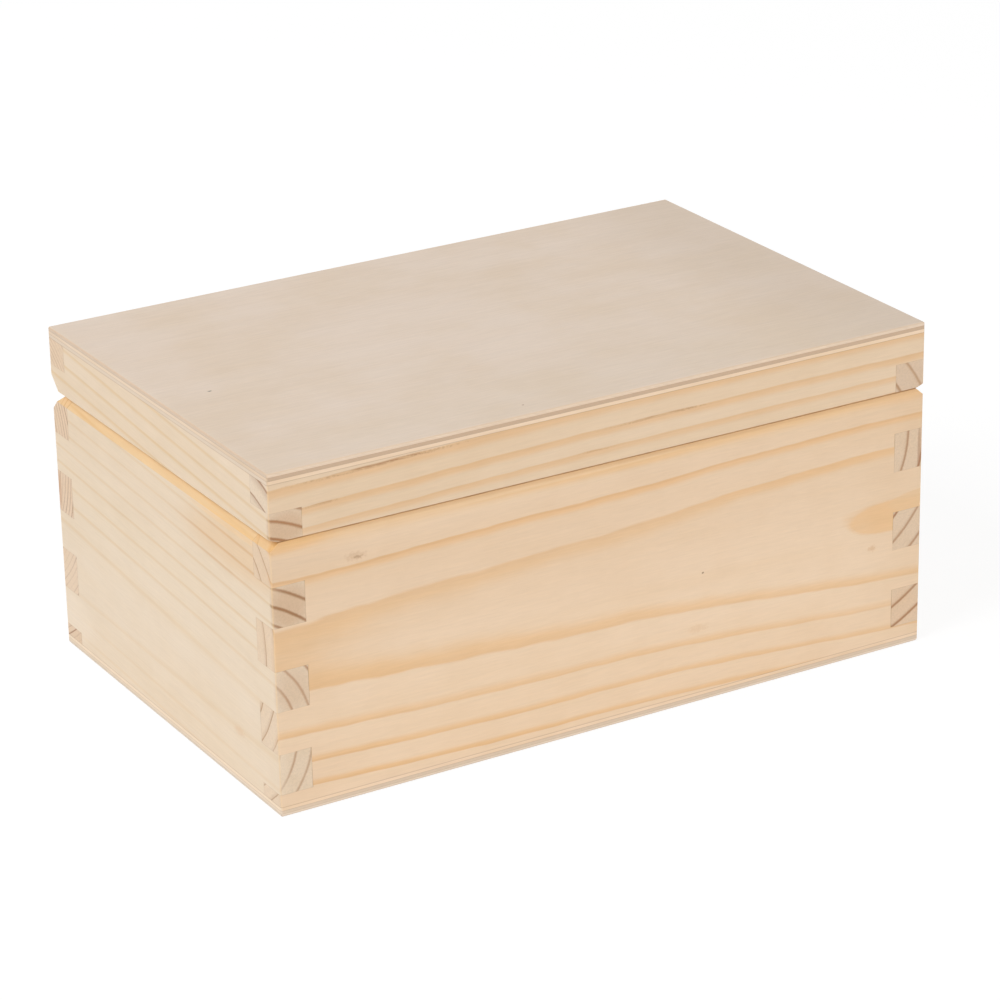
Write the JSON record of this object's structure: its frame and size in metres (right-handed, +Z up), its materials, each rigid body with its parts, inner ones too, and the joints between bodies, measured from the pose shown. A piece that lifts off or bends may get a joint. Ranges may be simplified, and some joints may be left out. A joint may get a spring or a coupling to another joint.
{
  "type": "wooden case",
  "caption": "Lidded pine case for papers and keepsakes: finger-jointed corners, plywood base and lid panels, and a lid on butt hinges let into the seam at the back.",
  "frame": {"origin": "middle of the underside of the base panel, on the surface the case stands on", "axes": "+X to the right along the front, +Y from the front to the hinged back, +Z up"},
  "size_m": [0.3, 0.193, 0.1414],
  "materials": {
    "pine": "sanded, unfinished",
    "plywood_face": "sanded veneer",
    "plywood_core": "sawn ply edge",
    "hinge_brass": "satin plated",
    "screw_brass": "satin plated"
  },
  "bodies": {
    "case": {"front_board": "pine", "back_board": "pine", "left_board": "pine", "right_board": "pine", "base_lower_veneer": "plywood_face", "base_core": "plywood_core", "base_upper_veneer": "plywood_face", "left_hinge_case_leaf": "hinge_brass", "right_hinge_case_leaf": "hinge_brass", "left_hinge_pin": "hinge_brass", "right_hinge_pin": "hinge_brass", "case_hinge_screws": "screw_brass"},
    "lid": {"lid_front_rail": "pine", "lid_back_rail": "pine", "lid_left_rail": "pine", "lid_right_rail": "pine", "lid_lower_veneer": "plywood_face", "lid_core": "plywood_core", "lid_upper_veneer": "plywood_face", "left_hinge_lid_leaf": "hinge_brass", "right_hinge_lid_leaf": "hinge_brass", "lid_hinge_screws": "screw_brass"}
  },
  "joints": [
    {"name": "lid_hinge", "type": "hinge", "parent": "case", "child": "lid", "pos_m": [0, 0.09105, 0.1135], "axis": [-1, 0, 0], "range_deg": [0, 110]}
  ]
}
